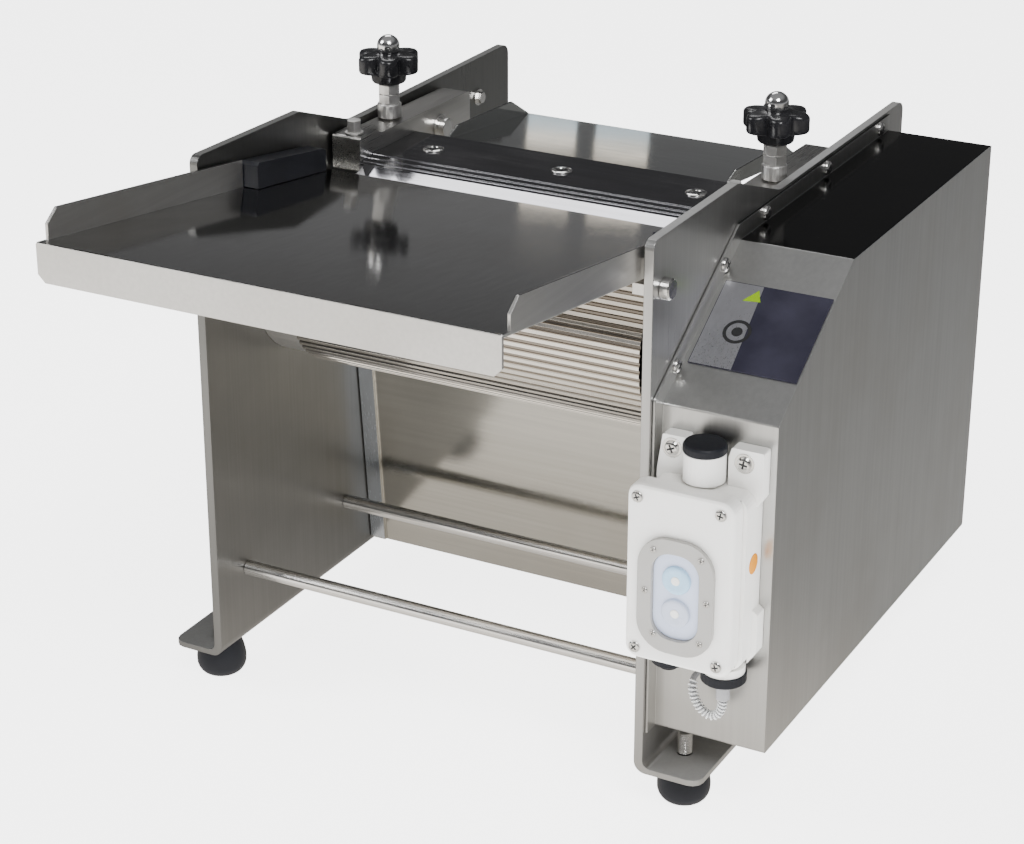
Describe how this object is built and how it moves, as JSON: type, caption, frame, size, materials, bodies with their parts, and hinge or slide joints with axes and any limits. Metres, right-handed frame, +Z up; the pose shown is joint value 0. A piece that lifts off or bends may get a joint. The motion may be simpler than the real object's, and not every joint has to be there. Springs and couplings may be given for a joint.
{
  "type": "dough sheeter",
  "caption": "Tabletop stainless sheeting machine: sloping infeed tray, fluted feed roller, scraper holder with star knobs, side drive box and push-button switch box.",
  "frame": {"origin": "centre of the bounding box on the plane of the table under the rubber feet", "axes": "+X to the right towards the drive box, +Y from the infeed tray to the outfeed chute at the back, +Z up"},
  "size_m": [0.4454, 0.596, 0.4249],
  "materials": {
    "stainless_sheet": "brushed",
    "stainless_bar": "ground",
    "roller_steel": "fluted, ground",
    "bright_fasteners": "bright",
    "gear_steel": "machined, oiled",
    "black_plastic": "gloss",
    "black_rubber": "satin",
    "white_plastic": "moulded",
    "grey_plastic": "satin",
    "clear_blue_plastic": "translucent",
    "label": "printed plate"
  },
  "bodies": {
    "frame": {"left_side_plate": "stainless_sheet", "right_side_plate": "stainless_sheet", "foot_front_left": "black_rubber", "foot_front_right": "black_rubber", "foot_rear_left": "black_rubber", "foot_rear_right": "black_rubber", "front_tie_rod": "stainless_bar", "rear_tie_rod": "stainless_bar", "rear_panel": "stainless_sheet", "outfeed_chute": "stainless_sheet", "tray_bracket_left": "stainless_bar", "tray_bracket_right": "stainless_bar", "bracket_bolt_left": "bright_fasteners", "bracket_bolt_right": "bright_fasteners", "bearing_left": "stainless_bar", "bearing_right": "stainless_bar", "gear_motor": "gear_steel", "motor_shelf": "stainless_sheet", "left_arm_pivot": "bright_fasteners", "right_arm_pivot": "bright_fasteners", "drive_cover": "stainless_sheet", "cover_screw_1": "bright_fasteners", "cover_screw_2": "bright_fasteners", "cover_screw_3": "bright_fasteners", "cover_screw_4": "bright_fasteners", "label_plate": "label", "switch_box": "white_plastic", "switch_lid": "white_plastic", "switch_ring": "grey_plastic", "conduit_plug": "black_rubber", "gland_left": "black_rubber", "gland_right": "black_rubber", "switch_lead": "grey_plastic"},
    "tray": {"infeed_tray": "stainless_sheet", "tray_guide_left": "black_plastic", "tray_guide_right": "black_plastic"},
    "roller": {"feed_roller": "roller_steel", "roller_shaft": "stainless_bar", "roller_gear": "gear_steel"},
    "pinion": {"motor_pinion": "gear_steel"},
    "holder": {"left_arm": "stainless_bar", "right_arm": "stainless_bar", "left_arm_bolt": "bright_fasteners", "right_arm_bolt": "bright_fasteners", "blade_holder": "stainless_bar", "blade": "bright_fasteners", "holder_screw_1": "bright_fasteners", "holder_screw_2": "bright_fasteners", "holder_screw_3": "bright_fasteners", "left_boss": "bright_fasteners", "right_boss": "bright_fasteners"},
    "left_adjuster": {"left_knob": "black_plastic", "left_knob_cap": "bright_fasteners", "left_spindle": "bright_fasteners"},
    "right_adjuster": {"right_knob": "black_plastic", "right_knob_cap": "bright_fasteners", "right_spindle": "bright_fasteners"},
    "on_key": {"on_button": "clear_blue_plastic"},
    "off_key": {"off_button": "clear_blue_plastic"}
  },
  "joints": [
    {"name": "roller_spin", "type": "hinge", "parent": "frame", "child": "roller", "pos_m": [-0.02175, -0.0054, 0.2855], "axis": [1, 0, 0], "continuous": true},
    {"name": "pinion_spin", "type": "hinge", "parent": "frame", "child": "pinion", "pos_m": [-0.02175, 0.05124, 0.25909], "axis": [1, 0, 0], "continuous": true},
    {"name": "holder_tilt", "type": "hinge", "parent": "frame", "child": "holder", "pos_m": [-0.02175, 0.145, 0.3465], "axis": [-1, 0, 0], "range_deg": [0, 4]},
    {"name": "left_knob_turn", "type": "hinge", "parent": "holder", "child": "left_adjuster", "pos_m": [-0.17075, 0.098, 0.3905], "axis": [0, 0, 1], "range_deg": [0, 676]},
    {"name": "right_knob_turn", "type": "hinge", "parent": "holder", "child": "right_adjuster", "pos_m": [0.12725, 0.098, 0.3905], "axis": [0, 0, 1], "range_deg": [0, 676]},
    {"name": "tray_lift", "type": "slide", "parent": "frame", "child": "tray", "axis": [0, 0, 1], "range_m": [0, 0.06]},
    {"name": "on_press", "type": "slide", "parent": "frame", "child": "on_key", "axis": [0, 1, 0], "range_m": [0, 0.002], "stiffness_N_per_m": 400, "springref_m": -0.001},
    {"name": "off_press", "type": "slide", "parent": "frame", "child": "off_key", "axis": [0, 1, 0], "range_m": [0, 0.002], "stiffness_N_per_m": 400, "springref_m": -0.001}
  ],
  "couplings": [
    {"joint": "pinion_spin", "follows": "roller_spin", "ratio": -2.5714},
    {"joint": "left_knob_turn", "follows": "holder_tilt", "ratio": 168.75},
    {"joint": "right_knob_turn", "follows": "holder_tilt", "ratio": 168.75}
  ]
}
